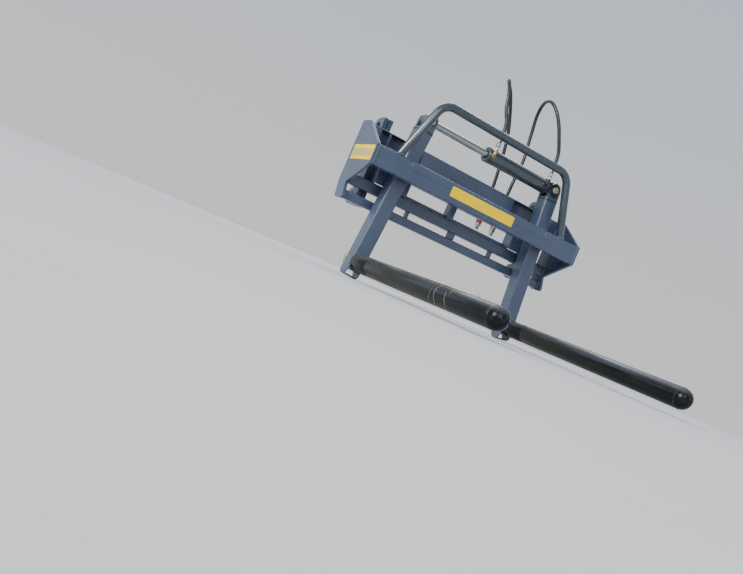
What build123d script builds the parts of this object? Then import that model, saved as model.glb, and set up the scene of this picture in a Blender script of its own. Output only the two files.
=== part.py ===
"""Round bale stacker: two swinging arms, each with a free turning tine roller, squeezed by one cylinder.

Millimetres. +X along the beam, -Y the way the rollers point, +Y to the loader, +Z up.
X = 0 is the middle of the beam, Y = 0 the middle of the whole length, Z = 0 the floor.
"""

import os
from math import cos, pi, radians, sin, tan

from build123d import *

os.makedirs("parts", exist_ok=True)

# Arms: square tube levers on a pivot, with a clevis on top and a round foot below
arm_width = 80
arm_wall = 7
arm_corner = 10
arm_front_play = 6
arm_back_play = 2
splay = 5
arm_length = 522
tower_length = 246
foot_drop = 36
foot_bar = 8
boss_radius = 40
boss_proud = 5

# Clevis at the top of each arm
cap_thick = 9
cap_drop = 47
ear_thick = 14
ear_radius = 35
clevis_pin_radius = 15
clevis_pin_proud = 6

# Tine rollers: outer tube with a domed end, turning on a spindle
roller_radius = 44.5
roller_wall = 6
collar_end = 164
roller_gap = 4
roller_length = 1070
bush_length = 60
bush_set_in = 45
spindle_radius = 25
spindle_stop = 12
nut_thick = 24
nut_across = 75
seep_hole_from_tip = 179
seep_hole_length = 34
seep_hole_width = 12

# Beam and rear frame
beam_length = 1316
beam_height = 100
beam_depth = 60
beam_wall = 6
beam_corner = 9
pivot_from_end = 224
pivot_above_beam = 78
pivot_pin_radius = 20
pivot_pin_proud = 2
end_thick = 15
strip_depth = 93
end_rise = 115
end_slope = 105
end_leg = 81
end_lean = 30
end_corner = 14
rail_wall = 5
rail_corner = 8
rail_depth = 50
top_rail_height = 100
top_rail_depth = 48
window_inward = 126
window_outward = 132
window_rib_out = 79
window_rib_thick = 12
window_margin = 5
window_sill = 24
upper_rail_drop = 50
upper_rail_height = 56
lip_height = 15
lip_depth = 32
lower_rail_drop = 138
lower_rail_height = 44
link_width = 44
link_thick = 16
web_thick = 12
web_x = 275
upright_x = -45
upright_width = 40
upright_overlap = 13

# Pivot boxes behind the arms
pivot_box_width = 190
pivot_box_depth = 27
pivot_box_plate = 15
pivot_box_web = 12
pivot_box_overlap = 18

# Loader hooks and lock lugs
hook_from_end = 125
hook_thick = 22
hook_gap = 7
hook_spine = 32
hook_bar_radius = 26
hook_wall = 24
hook_behind = 52
hook_above_top = 14
lock_bore_radius = 18
lock_behind = 34
lock_above_end = 44
lock_wall = 24

# Hoop that guards the cylinder
hoop_radius = 21
hoop_wall = 3.2
hoop_bend = 84
hoop_foot_from_end = 135
hoop_slant = 115
hoop_height = 316
hoop_set_in = 22

# Squeeze cylinder
barrel_radius = 38
barrel_wall = 8
barrel_gap = 11
gland_from_pin = 457
gland_length = 40
gland_lip = 3
rod_radius = 18
rod_eye_radius = 31
eye_side_gap = 1
open_pivot_gap = 3
piston_length = 40
piston_from_gland = 96
fit = 0.05
gland_port_from_face = 18
base_port_from_end = 30
port_radius = 13
port_proud = 4
elbow_radius = 9
elbow_reach = 51
elbow_rise = 20
collar_across = 22
collar_thick = 5
hose_nut_across = 24
hose_nut_height = 12
stem_radius = 7
stem_length = 10
swage_radius = 11
swage_length = 63

# Hoses and their quick couplers
hose_radius = 9.5
bend_share = 0.45
coupler_across = 27
coupler_hex = 16
coupler_radius = 16
coupler_length = 54
coupler_nose = 22
coupler_step = 4

# Places worked out from the sizes above
splay_rad = radians(splay)
foot_end = arm_length + foot_drop + arm_width / 2
hook_outer = hook_bar_radius + hook_wall
arm_set_back = beam_depth + arm_front_play + boss_proud
box_set_back = arm_set_back + arm_width + boss_proud + arm_back_play
end_depth = box_set_back + pivot_box_depth + strip_depth
length_ahead = collar_end + roller_length - arm_set_back
length_behind = end_depth + hook_behind + hook_outer
beam_y = (length_ahead - length_behind) / 2
beam_back = beam_y + beam_depth
pivot_x = beam_length / 2 - pivot_from_end
pivot_z = foot_end * cos(splay_rad) + arm_width / 2 * sin(splay_rad)
beam_z = pivot_z - pivot_above_beam
beam_top = beam_z + beam_height
end_back = beam_y + end_depth
strip_front = end_back - strip_depth
box_front = beam_y + box_set_back
rail_back = strip_front + rail_depth
frame_top = beam_top + end_rise
frame_bottom = beam_z - end_slope - end_leg
end_inner = beam_length / 2 - end_thick
arm_front = beam_y + arm_set_back
arm_y = arm_front + arm_width / 2
arm_back = arm_front + arm_width
tine_x = pivot_x + arm_length * sin(splay_rad)
tine_z = pivot_z - arm_length * cos(splay_rad)
tower_x = pivot_x - tower_length * sin(splay_rad)
tower_z = pivot_z + tower_length * cos(splay_rad)
clevis_gap = arm_width - 2 * ear_thick
eye_width = clevis_gap - 2 * eye_side_gap
arm_top = tower_length - cap_drop - cap_thick
top_rail_front = end_back - top_rail_depth
top_rail_bottom = frame_top - top_rail_height


def save(piece, name):
    """Labels a finished piece and writes it to its own file."""
    piece.part.label = name
    export_step(piece.part, f"parts/{name}.step")


def rail(height, depth, wall, corner):
    """Draws the rounded section of a hollow rail, its depth along the sketch's x."""
    RectangleRounded(depth, height, corner)
    RectangleRounded(depth - 2 * wall, height - 2 * wall, corner - wall, mode=Mode.SUBTRACT)


# End plates, with the nose that carries the beam
for side, s in (("left", -1), ("right", 1)):
    with BuildPart() as end_plate:
        with BuildSketch(Plane.YZ.offset(s * beam_length / 2)) as profile:
            with BuildLine():
                Polyline(
                    (beam_y, beam_z),
                    (beam_y, beam_top),
                    (strip_front, frame_top),
                    (end_back, frame_top),
                    (end_back, frame_bottom + end_leg),
                    (end_back - end_lean, frame_bottom),
                    (strip_front - end_lean, frame_bottom),
                    (strip_front, frame_bottom + end_leg),
                    close=True,
                )
            make_face()
            upper = profile.vertices().group_by(Axis.Y)[-1]
            lower = profile.vertices().group_by(Axis.Y)[0]
            fillet(upper + lower, end_corner)
        extrude(amount=-s * end_thick)
    save(end_plate, f"{side}_end_plate")

# Front beam, a closed tube with the pivot pins' holes
with BuildPart() as front_beam:
    with BuildSketch(Plane.YZ):
        with Locations((beam_y + beam_depth / 2, beam_z + beam_height / 2)):
            rail(beam_height, beam_depth, beam_wall, beam_corner)
    extrude(amount=end_inner, both=True)
    with BuildSketch(Plane.XZ.offset(-beam_back)):
        with Locations((-pivot_x, pivot_z), (pivot_x, pivot_z)):
            Circle(pivot_pin_radius)
    extrude(amount=beam_depth, mode=Mode.SUBTRACT)
save(front_beam, "front_beam")

# Top rail, its front wall open where the arms swing, with a rib in each opening
with BuildPart() as top_rail:
    with BuildSketch(Plane.YZ):
        with Locations((end_back - top_rail_depth / 2, frame_top - top_rail_height / 2)):
            rail(top_rail_height, top_rail_depth, rail_wall, rail_corner)
    extrude(amount=end_inner, both=True)
    window_low = top_rail_bottom + window_sill
    window_high = frame_top - window_margin
    with BuildSketch(Plane.XZ.offset(-top_rail_front - 2 * rail_wall)):
        for s in (-1, 1):
            rib = pivot_x + window_rib_out - window_rib_thick / 2
            inner = pivot_x - window_inward
            outer = pivot_x + window_outward
            for near, far in ((inner, rib), (rib + window_rib_thick, outer)):
                with Locations((s * (near + far) / 2, (window_low + window_high) / 2)):
                    Rectangle(far - near, window_high - window_low)
    extrude(amount=2 * rail_wall, mode=Mode.SUBTRACT)
save(top_rail, "top_rail")

# Upper and lower rails behind the arms; flat bars lie on the upper one between the boxes and the upright
rail_top = beam_z - upper_rail_drop
lip_top = rail_top + lip_height
box_inner = pivot_x - pivot_box_width / 2
for name, top, height in (
    ("upper_rail", rail_top, upper_rail_height),
    ("lower_rail", beam_z - lower_rail_drop, lower_rail_height),
):
    with BuildPart() as rear_rail:
        with BuildSketch(Plane.YZ):
            with Locations((strip_front + rail_depth / 2, top - height / 2)):
                rail(height, rail_depth, rail_wall, rail_corner)
        extrude(amount=end_inner, both=True)
        if name == "upper_rail":
            with BuildSketch(Plane.YZ):
                with Locations((rail_back - lip_depth / 2, (rail_top - rail_wall + lip_top) / 2)):
                    Rectangle(lip_depth - 2 * rail_corner, lip_height + rail_wall)
                with Locations((rail_back - lip_depth / 2, (rail_top + lip_top) / 2)):
                    Rectangle(lip_depth, lip_height)
            extrude(amount=box_inner, both=True)
            with BuildSketch(Plane.XY.offset(rail_top)):
                with Locations((upright_x, strip_front + rail_depth / 2)):
                    Rectangle(upright_width, rail_depth)
            extrude(amount=lip_height, mode=Mode.SUBTRACT)
    save(rear_rail, name)

# Links between the two rails: a flat bar flush with their fronts in the middle, a web at each side
link_low = beam_z - lower_rail_drop
link_high = rail_top - upper_rail_height
with BuildPart() as rail_links:
    with BuildSketch(Plane.XY.offset(link_low)):
        with Locations((0, strip_front + link_thick / 2)):
            Rectangle(link_width, link_thick)
        with Locations((-web_x, strip_front + rail_depth / 2), (web_x, strip_front + rail_depth / 2)):
            Rectangle(web_thick, rail_depth - 2 * rail_corner)
    extrude(amount=link_high - link_low)
save(rail_links, "rail_links")

# Upright tube between the upper rail and the top rail's underside
upright_back = top_rail_front + upright_overlap
with BuildPart() as upright:
    with BuildSketch(Plane.XY.offset(rail_top)):
        with Locations((upright_x, (strip_front + upright_back) / 2)):
            rail(upright_back - strip_front, upright_width, rail_wall, rail_corner)
    extrude(amount=top_rail_bottom - rail_top)
save(upright, "centre_upright")

# Pivot boxes: a plate behind each arm that holds the pin's rear end, with two webs to the top rail
box_high = top_rail_bottom + pivot_box_overlap
for side, s in (("left", -1), ("right", 1)):
    with BuildPart() as pivot_box:
        with BuildSketch(Plane.XY.offset(rail_top)):
            with Locations((s * pivot_x, (box_front + top_rail_front) / 2)):
                Rectangle(pivot_box_width, top_rail_front - box_front)
            with Locations((s * pivot_x, (box_front + pivot_box_plate + top_rail_front) / 2)):
                Rectangle(
                    pivot_box_width - 2 * pivot_box_web,
                    top_rail_front - box_front - pivot_box_plate,
                    mode=Mode.SUBTRACT,
                )
        extrude(amount=box_high - rail_top)
        with BuildSketch(Plane.XZ.offset(-box_front)):
            with Locations((s * pivot_x, pivot_z)):
                Circle(pivot_pin_radius)
        extrude(amount=-pivot_box_plate, mode=Mode.SUBTRACT)
    save(pivot_box, f"{side}_pivot_box")

# Pivot pins through beam, arm and pivot box
for side, s in (("left", -1), ("right", 1)):
    with BuildPart() as pivot_pin:
        with BuildSketch(Plane.XZ.offset(pivot_pin_proud - beam_y)):
            with Locations((s * pivot_x, pivot_z)):
                Circle(pivot_pin_radius)
        extrude(amount=-(2 * pivot_pin_proud + box_front + pivot_box_plate - beam_y))
        chamfer(pivot_pin.edges().filter_by(GeomType.CIRCLE), pivot_pin_proud / 2)
    save(pivot_pin, f"{side}_pivot_pin")

# Loader hooks: a pair of plates behind each end, hooked over the loader's bar and bored for its lock pin
hook_y = end_back + hook_behind
hook_z = frame_top + hook_above_top
hook_x = beam_length / 2 - hook_from_end
lock_y = end_back + lock_behind
lock_z = frame_bottom + lock_above_end
spine_back = end_back + hook_spine
lug_radius = lock_bore_radius + lock_wall
hook_step = (hook_thick + hook_gap) / 2
for side, s in (("left", -1), ("right", 1)):
    with BuildPart() as hook:
        with BuildSketch(
            Plane.YZ.offset(s * hook_x - hook_step),
            Plane.YZ.offset(s * hook_x + hook_step),
        ):
            with Locations(((rail_back + spine_back) / 2, (lock_z - lug_radius + top_rail_bottom) / 2)):
                Rectangle(spine_back - rail_back, top_rail_bottom - lock_z + lug_radius)
            with Locations(((end_back + spine_back) / 2, (top_rail_bottom + hook_z) / 2)):
                Rectangle(hook_spine, hook_z - top_rail_bottom)
            with Locations((lock_y, lock_z)):
                Circle(lug_radius)
            with Locations(((rail_back + lock_y) / 2, lock_z)):
                Rectangle(lock_y - rail_back, 2 * lug_radius)
            with Locations((hook_y, hook_z)):
                Circle(hook_outer)
            with Locations((hook_y + hook_bar_radius + hook_wall / 2, hook_z - hook_bar_radius / 2)):
                Rectangle(hook_wall, hook_bar_radius)
            with Locations(((end_back + hook_y) / 2, hook_z + hook_outer / 2)):
                Rectangle(hook_behind, hook_outer)
            with Locations((hook_y, hook_z)):
                Circle(hook_bar_radius, mode=Mode.SUBTRACT)
            with Locations((hook_y, hook_z - hook_outer)):
                Rectangle(2 * hook_bar_radius, 2 * hook_outer, mode=Mode.SUBTRACT)
            with Locations((lock_y, lock_z)):
                Circle(lock_bore_radius, mode=Mode.SUBTRACT)
        extrude(amount=hook_thick / 2, both=True)
    save(hook, f"{side}_hook")

# Hoop guard standing on the beam
hoop_y = beam_y + hoop_set_in
hoop_foot_x = beam_length / 2 - hoop_foot_from_end
hoop_top_x = hoop_foot_x - hoop_slant
with BuildPart() as hoop:
    with BuildLine() as hoop_line:
        FilletPolyline(
            (-hoop_foot_x, hoop_y, beam_top),
            (-hoop_top_x, hoop_y, beam_top + hoop_height),
            (hoop_top_x, hoop_y, beam_top + hoop_height),
            (hoop_foot_x, hoop_y, beam_top),
            radius=hoop_bend,
        )
    with BuildSketch(Plane(origin=hoop_line.line @ 0, z_dir=hoop_line.line % 0)):
        Circle(hoop_radius)
        Circle(hoop_radius - hoop_wall, mode=Mode.SUBTRACT)
    sweep(path=hoop_line.line)
    split(bisect_by=Plane.XY.offset(beam_top), keep=Keep.TOP)
save(hoop, "hoop_guard")

# Arms with their clevises, spindles, nuts and clevis pins
for side, s in (("left", -1), ("right", 1)):
    across = (cos(splay_rad), 0, s * sin(splay_rad))
    up = (-s * sin(splay_rad), 0, cos(splay_rad))
    pivot = (s * pivot_x, 0, pivot_z)
    section = Plane(origin=pivot, x_dir=across, z_dir=up)
    front = Plane(origin=pivot, x_dir=across, z_dir=(0, -1, 0))
    flank = Plane(origin=pivot, x_dir=(0, 1, 0), z_dir=across)

    with BuildPart() as arm:
        with BuildSketch(section.offset(-foot_end)):
            with Locations((0, arm_y)):
                rail(arm_width, arm_width, arm_wall, arm_corner)
        extrude(amount=foot_end + arm_top)
        with BuildSketch(section.offset(-foot_end)):
            with Locations((0, arm_y)):
                Rectangle(arm_width - 2 * arm_wall, arm_width - 2 * arm_wall)
        extrude(amount=foot_bar)
        with BuildSketch(flank):
            with Locations((arm_y, -foot_end + arm_width / 2)):
                Circle(arm_width / 2)
            with Locations((arm_y, (arm_top - foot_end + arm_width / 2) / 2)):
                Rectangle(arm_width, arm_top + foot_end - arm_width / 2)
        extrude(amount=arm_width, both=True, mode=Mode.INTERSECT)
        slot_high = arm_length + roller_radius
        slot_low = foot_end - foot_bar
        with BuildSketch(front.offset(-arm_y)):
            with Locations((0, -(slot_high + slot_low) / 2)):
                Rectangle(arm_width - 2 * arm_wall, slot_low - slot_high)
        extrude(amount=arm_width, both=True, mode=Mode.SUBTRACT)
        with BuildSketch(front.offset(-arm_y)):
            Circle(boss_radius)
        extrude(amount=arm_width / 2 + boss_proud, both=True)
        with BuildSketch(front.offset(-arm_y)):
            Circle(pivot_pin_radius + fit)
        extrude(amount=arm_width, both=True, mode=Mode.SUBTRACT)
        with BuildSketch(front.offset(-arm_y)):
            with Locations((0, -arm_length)):
                Circle(spindle_radius)
        extrude(amount=arm_width, both=True, mode=Mode.SUBTRACT)
        with BuildSketch(section.offset(arm_top)):
            with Locations((0, arm_y)):
                RectangleRounded(arm_width, arm_width, arm_corner)
        extrude(amount=cap_thick)
        for y in (arm_front + ear_thick, arm_back):
            with BuildSketch(front.offset(-y)):
                with Locations((0, tower_length)):
                    Circle(ear_radius)
                with Locations((0, tower_length - cap_drop / 2)):
                    Rectangle(2 * ear_radius, cap_drop)
                with Locations((0, tower_length)):
                    Circle(clevis_pin_radius, mode=Mode.SUBTRACT)
            extrude(amount=ear_thick)
    save(arm, f"{side}_arm")

    with BuildPart() as clevis_pin:
        with BuildSketch(front.offset(-arm_back - clevis_pin_proud)):
            with Locations((0, tower_length)):
                Circle(clevis_pin_radius)
        extrude(amount=arm_width + 2 * clevis_pin_proud)
        chamfer(clevis_pin.edges().filter_by(GeomType.CIRCLE), clevis_pin_proud / 3)
    save(clevis_pin, f"{side}_clevis_pin")

    tine = Plane(origin=(s * tine_x, 0, tine_z), x_dir=(1, 0, 0), z_dir=(0, -1, 0))
    with BuildPart() as spindle:
        with BuildSketch(tine.offset(-arm_front)):
            Circle(roller_radius)
        extrude(amount=collar_end)
        with BuildSketch(tine.offset(-arm_back - nut_thick)):
            Circle(spindle_radius)
        extrude(amount=arm_width + nut_thick + collar_end + roller_length - roller_radius - spindle_stop)
    save(spindle, f"{side}_spindle")

    with BuildPart() as nut:
        with BuildSketch(tine.offset(-arm_back - nut_thick)):
            RegularPolygon(nut_across / 2, 6, major_radius=False)
            Circle(spindle_radius, mode=Mode.SUBTRACT)
        extrude(amount=nut_thick)
    save(nut, f"{side}_spindle_nut")

    # The roller: tube, two bushes on the spindle and a half round end
    roller_start = collar_end - arm_front + roller_gap
    roller_tip = collar_end - arm_front + roller_length
    dome_x = roller_tip - roller_radius
    bore = roller_radius - roller_wall
    lengthwise = Plane(origin=(s * tine_x, 0, tine_z), x_dir=(0, -1, 0), z_dir=(1, 0, 0))
    with BuildPart() as roller:
        with BuildSketch(lengthwise):
            with BuildLine():
                Line((roller_start, bore), (roller_start, roller_radius))
                Line((roller_start, roller_radius), (dome_x, roller_radius))
                CenterArc((dome_x, 0), roller_radius, 0, 90)
                Line((roller_tip, 0), (roller_tip - roller_wall, 0))
                CenterArc((dome_x, 0), bore, 0, 90)
                Line((dome_x, bore), (roller_start, bore))
            make_face()
            for bush in (roller_start + bush_set_in, dome_x - spindle_stop - bush_set_in - bush_length):
                with Locations((bush + bush_length / 2, (bore + spindle_radius + fit) / 2)):
                    Rectangle(bush_length, bore - spindle_radius - fit)
        revolve(axis=Axis((s * tine_x, 0, tine_z), (0, 1, 0)))
        hole_y = -(roller_tip - seep_hole_from_tip)
        with BuildSketch(Plane.XY.offset(tine_z + spindle_radius)):
            with Locations((s * tine_x, hole_y)):
                SlotOverall(seep_hole_length, seep_hole_width, rotation=90)
        extrude(amount=roller_radius, mode=Mode.SUBTRACT)
    save(roller, f"{side}_roller")

# Squeeze cylinder: barrel with its base eye, gland, rod with its eye
barrel_base = tower_x - ear_radius - barrel_gap
gland_face = tower_x - gland_from_pin
bore = barrel_radius - barrel_wall
gland_port_x = gland_face + gland_port_from_face
base_port_x = barrel_base - base_port_from_end
port_plane = Plane.XZ.offset(-arm_y)
axis_plane = Plane(origin=(0, arm_y, tower_z), x_dir=(0, 1, 0), z_dir=(1, 0, 0))
eye_plane = Plane(origin=(0, arm_y + eye_width / 2, tower_z), x_dir=(1, 0, 0), z_dir=(0, -1, 0))
with BuildPart() as barrel:
    with BuildSketch(axis_plane.offset(gland_face + gland_length)):
        Circle(barrel_radius)
    extrude(amount=barrel_base - gland_face - gland_length)
    with BuildSketch(axis_plane.offset(gland_face + gland_length)):
        Circle(bore)
    extrude(amount=barrel_base - gland_face - gland_length - 2 * barrel_wall, mode=Mode.SUBTRACT)
    with BuildSketch(eye_plane):
        with Locations((tower_x, 0)):
            Circle(rod_eye_radius)
        with Locations(((tower_x + barrel_base) / 2, 0)):
            Rectangle(tower_x - barrel_base, 2 * rod_eye_radius)
        with Locations((tower_x, 0)):
            Circle(clevis_pin_radius + fit, mode=Mode.SUBTRACT)
    extrude(amount=eye_width)
    with BuildSketch(port_plane.offset(barrel_radius - barrel_wall / 2)):
        with Locations((base_port_x, tower_z)):
            Circle(port_radius)
    extrude(amount=barrel_wall / 2 + port_proud)
save(barrel, "cylinder_barrel")

with BuildPart() as gland:
    with BuildSketch(axis_plane.offset(gland_face)):
        Circle(barrel_radius + gland_lip)
    extrude(amount=gland_length)
    with BuildSketch(axis_plane.offset(gland_face + gland_length)):
        Circle(bore)
    extrude(amount=gland_length / 2)
    with BuildSketch(axis_plane.offset(gland_face)):
        Circle(rod_radius + fit)
    extrude(amount=2 * gland_length, mode=Mode.SUBTRACT)
    chamfer(gland.faces().sort_by(Axis.X)[0].outer_wire().edges(), gland_lip)
    with BuildSketch(port_plane.offset(barrel_radius - barrel_wall / 2)):
        with Locations((gland_port_x, tower_z)):
            Circle(port_radius)
    extrude(amount=barrel_wall / 2 + port_proud)
save(gland, "cylinder_gland")

piston_x = gland_face + piston_from_gland
with BuildPart() as rod:
    with BuildSketch(axis_plane.offset(-tower_x + rod_eye_radius / 2)):
        Circle(rod_radius)
    extrude(amount=piston_x + piston_length + tower_x - rod_eye_radius / 2)
    with BuildSketch(axis_plane.offset(piston_x)):
        Circle(bore - fit)
    extrude(amount=piston_length)
    with BuildSketch(eye_plane):
        with Locations((-tower_x, 0)):
            Circle(rod_eye_radius + open_pivot_gap)
    extrude(amount=eye_width)
    with BuildSketch(eye_plane):
        with Locations((-tower_x, 0)):
            Circle(clevis_pin_radius + open_pivot_gap)
    extrude(amount=eye_width, mode=Mode.SUBTRACT)
save(rod, "cylinder_rod")

# Elbows screwed into the front ports, each with the hose's nut, stem and crimped ferrule standing on it
port_end = barrel_radius + port_proud
ferrule_y = arm_y - elbow_reach
nut_low = tower_z + elbow_rise
ferrule_low = nut_low + hose_nut_height + stem_length
ferrule_top = ferrule_low + swage_length
for name, x in (("gland", gland_port_x), ("base", base_port_x)):
    with BuildPart() as fitting:
        with BuildSketch(port_plane.offset(port_end)):
            with Locations((x, tower_z)):
                RegularPolygon(collar_across / 2, 6, major_radius=False)
        extrude(amount=collar_thick)
        with BuildSketch(port_plane.offset(port_end)):
            with Locations((x, tower_z)):
                Circle(elbow_radius)
        extrude(amount=elbow_reach - port_end)
        with Locations((x, ferrule_y, tower_z)):
            Sphere(elbow_radius)
        with BuildSketch(Plane.XY.offset(tower_z)):
            with Locations((x, ferrule_y)):
                Circle(elbow_radius)
        extrude(amount=elbow_rise)
        with BuildSketch(Plane.XY.offset(nut_low)):
            with Locations((x, ferrule_y)):
                RegularPolygon(hose_nut_across / 2, 6, major_radius=False)
        extrude(amount=hose_nut_height)
        with BuildSketch(Plane.XY.offset(nut_low)):
            with Locations((x, ferrule_y)):
                Circle(stem_radius)
        extrude(amount=hose_nut_height + stem_length)
        with BuildSketch(Plane.XY.offset(ferrule_low)):
            with Locations((x, ferrule_y)):
                Circle(swage_radius)
        extrude(amount=swage_length)
    save(fitting, f"{name}_fitting")

# Hoses: up from the ferrules, over, and down behind the top rail, each point counted from its ferrule's top
gland_route = [
    (0, 0, 0),
    (0, 0, 66),
    (-36, 18, 128),
    (-44, 34, 200),
    (-46, 68, 270),
    (-33, 125, 314),
    (22, 170, 330),
    (78, 203, 294),
    (117, 218, 226),
    (154, 228, 150),
    (179, 235, 69),
    (196, 241, -19),
    (208, 241, -106),
    (217, 241, -191),
    (221, 240, -274),
    (221, 240, -352),
]
base_route = [
    (0, 0, 0),
    (0, 0, 62),
    (-34, 12, 134),
    (-56, 22, 200),
    (-86, 40, 264),
    (-110, 78, 323),
    (-112, 147, 342),
    (-92, 209, 318),
    (-72, 237, 258),
    (-58, 239, 178),
    (-46, 240, 90),
    (-38, 241, 8),
    (-37, 241, -78),
    (-40, 241, -166),
    (-42, 241, -252),
    (-42, 241, -352),
]


def hose_radii(route):
    """Gives each corner of a hose the radius that takes up its share of the shorter run beside it."""
    radii = []
    points = [Vector(*p) for p in route]
    for a, b, c in zip(points, points[1:], points[2:]):
        turn = radians((b - a).get_angle(c - b))
        radii.append(bend_share * min((b - a).length, (c - b).length) / tan(turn / 2))
    return radii


for name, start_x, route in (("gland", gland_port_x, gland_route), ("base", base_port_x, base_route)):
    start = Vector(start_x, ferrule_y, ferrule_top)
    radii = hose_radii(route)
    print(name, "hose radii", [round(r) for r in radii])
    with BuildPart() as hose:
        with BuildLine() as hose_line:
            FilletPolyline(*[start + Vector(*p) for p in route], radius=radii)
        with BuildSketch(Plane(origin=hose_line.line @ 0, z_dir=hose_line.line % 0)):
            Circle(hose_radius)
        sweep(path=hose_line.line)
    save(hose, f"{name}_hose")
    tube = pi * hose_radius**2 * hose_line.wire().length
    print(name, "hose volume over section times length", round(hose.part.volume / tube, 4))

    end = start + Vector(*route[-1])
    with BuildPart() as coupler:
        with BuildSketch(Plane.XY.offset(end.Z)):
            with Locations((end.X, end.Y)):
                RegularPolygon(coupler_across / 2, 6, major_radius=False)
        extrude(amount=-coupler_hex)
        with BuildSketch(Plane.XY.offset(end.Z - coupler_hex)):
            with Locations((end.X, end.Y)):
                Circle(coupler_radius)
        extrude(amount=-coupler_length)
        chamfer(coupler.faces().sort_by(Axis.Z)[0].edges(), coupler_step / 2)
        with BuildSketch(Plane.XY.offset(end.Z - coupler_hex - coupler_length)):
            with Locations((end.X, end.Y)):
                Circle(coupler_radius - coupler_step)
        extrude(amount=-coupler_nose)
    save(coupler, f"{name}_coupler")
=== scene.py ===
"""Looks of the round bale stacker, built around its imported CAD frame. Metres."""
import math
import random

import bmesh
import bpy
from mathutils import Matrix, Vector


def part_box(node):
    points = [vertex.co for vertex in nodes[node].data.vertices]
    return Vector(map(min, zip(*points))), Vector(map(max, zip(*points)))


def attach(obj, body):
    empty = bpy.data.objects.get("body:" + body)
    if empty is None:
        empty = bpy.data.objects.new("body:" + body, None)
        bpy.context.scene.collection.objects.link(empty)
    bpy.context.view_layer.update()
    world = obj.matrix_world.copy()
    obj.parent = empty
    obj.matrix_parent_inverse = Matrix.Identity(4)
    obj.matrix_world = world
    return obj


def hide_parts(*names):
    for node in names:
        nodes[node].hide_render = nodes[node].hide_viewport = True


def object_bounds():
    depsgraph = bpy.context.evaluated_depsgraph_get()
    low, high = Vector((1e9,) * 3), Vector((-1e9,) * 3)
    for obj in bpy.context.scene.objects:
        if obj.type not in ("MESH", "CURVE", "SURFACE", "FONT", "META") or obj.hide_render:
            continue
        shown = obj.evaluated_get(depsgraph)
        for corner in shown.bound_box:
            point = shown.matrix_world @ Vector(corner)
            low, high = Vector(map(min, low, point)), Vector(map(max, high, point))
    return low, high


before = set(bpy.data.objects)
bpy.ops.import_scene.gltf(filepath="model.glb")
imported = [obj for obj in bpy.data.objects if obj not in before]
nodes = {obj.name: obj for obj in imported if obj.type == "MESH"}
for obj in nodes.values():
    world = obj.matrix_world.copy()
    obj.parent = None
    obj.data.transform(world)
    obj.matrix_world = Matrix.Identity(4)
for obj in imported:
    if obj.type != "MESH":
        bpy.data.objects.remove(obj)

cad_box = [[float(v) for v in corner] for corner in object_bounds()]
scene = bpy.context.scene
dice = random.Random(7)

# Camera at the photograph's viewing angle, lowered no further than the floor
CAMERA_PLACE = (-1.9567, -2.7453, 0.04)
CAMERA_TURN = (1.55810, -0.40201, -0.45571)
CAMERA_LENS = 35.85
camera_data = bpy.data.cameras.new("camera")
camera_data.lens = CAMERA_LENS
camera_data.sensor_width = 36
camera_data.clip_start = 0.01
camera_data.clip_end = 200
camera = bpy.data.objects.new("camera", camera_data)
camera.location = CAMERA_PLACE
camera.rotation_euler = CAMERA_TURN
scene.collection.objects.link(camera)
scene.camera = camera

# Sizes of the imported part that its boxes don't give
SPLAY = math.radians(5)
ARM_HALF = 0.040
ARM_CORNER = 0.009
ARM_LENGTH = 0.522
TOWER_LENGTH = 0.246
FOOT_DROP = 0.036
FOOT_BAR = 0.008
BOSS_RADIUS = 0.040
CAP_DROP = 0.047
EAR_THICK = 0.014
EAR_RADIUS = 0.035
CLEVIS_PIN_PROUD = 0.006
ROLLER_RADIUS = 0.0445
SPINDLE_RADIUS = 0.0250
NUT_ACROSS = 0.075
BEAM_CORNER = 0.009
RAIL_CORNER = 0.008
UPPER_RAIL_DROP = 0.050
MIDDLE_LINK_HALF = 0.022
WEB_X = 0.275
WEB_HALF = 0.006
HOOK_THICK = 0.022
LOCK_BEHIND = 0.034
LOCK_ABOVE_END = 0.044
HOOP_RADIUS = 0.021
HOOP_FOOT_FROM_END = 0.135
BARREL_RADIUS = 0.038
BARREL_GAP = 0.011
EYE_RADIUS = 0.031
ROD_RADIUS = 0.018
ROD_EYE_LENGTH = 0.071
GLAND_PORT_FROM_FACE = 0.018
BASE_PORT_FROM_END = 0.030
PORT_RADIUS = 0.0130
PORT_PROUD = 0.004
COLLAR_ACROSS = 0.022
COLLAR_THICK = 0.005
ELBOW_REACH = 0.051
ELBOW_RISE = 0.020
HOSE_NUT_ACROSS = 0.024
HOSE_NUT_HEIGHT = 0.012
FERRULE_HEIGHT = 0.105
HOSE_RADIUS = 0.0095
COUPLER_ACROSS = 0.027
COUPLER_HEX = 0.016

SIDES = (("left", -1), ("right", 1))
BARREL = "cylinder_barrel"
# Directions, as seen from the front
RIGHT, BACK, UP = (1, 0, 0), (0, 1, 0), (0, 0, 1)
LEFT, FRONT, DOWN = (-1, 0, 0), (0, -1, 0), (0, 0, -1)


# Node materials
def new_material(name):
    """A material with an empty tree, its shader and its output."""
    material = bpy.data.materials.new(name)
    material.use_nodes = True
    tree = material.node_tree
    tree.nodes.clear()
    out = tree.nodes.new("ShaderNodeOutputMaterial")
    shader = tree.nodes.new("ShaderNodeBsdfPrincipled")
    tree.links.new(shader.outputs[0], out.inputs[0])
    return material, tree, shader


def add(tree, kind, inputs=None, **settings):
    """Adds a node, with its settings and its inputs by name or number."""
    node = tree.nodes.new(kind)
    for key, value in settings.items():
        setattr(node, key, value)
    for key, value in (inputs or {}).items():
        if isinstance(value, bpy.types.NodeSocket):
            tree.links.new(value, node.inputs[key])
        else:
            node.inputs[key].default_value = value
    return node


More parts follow.
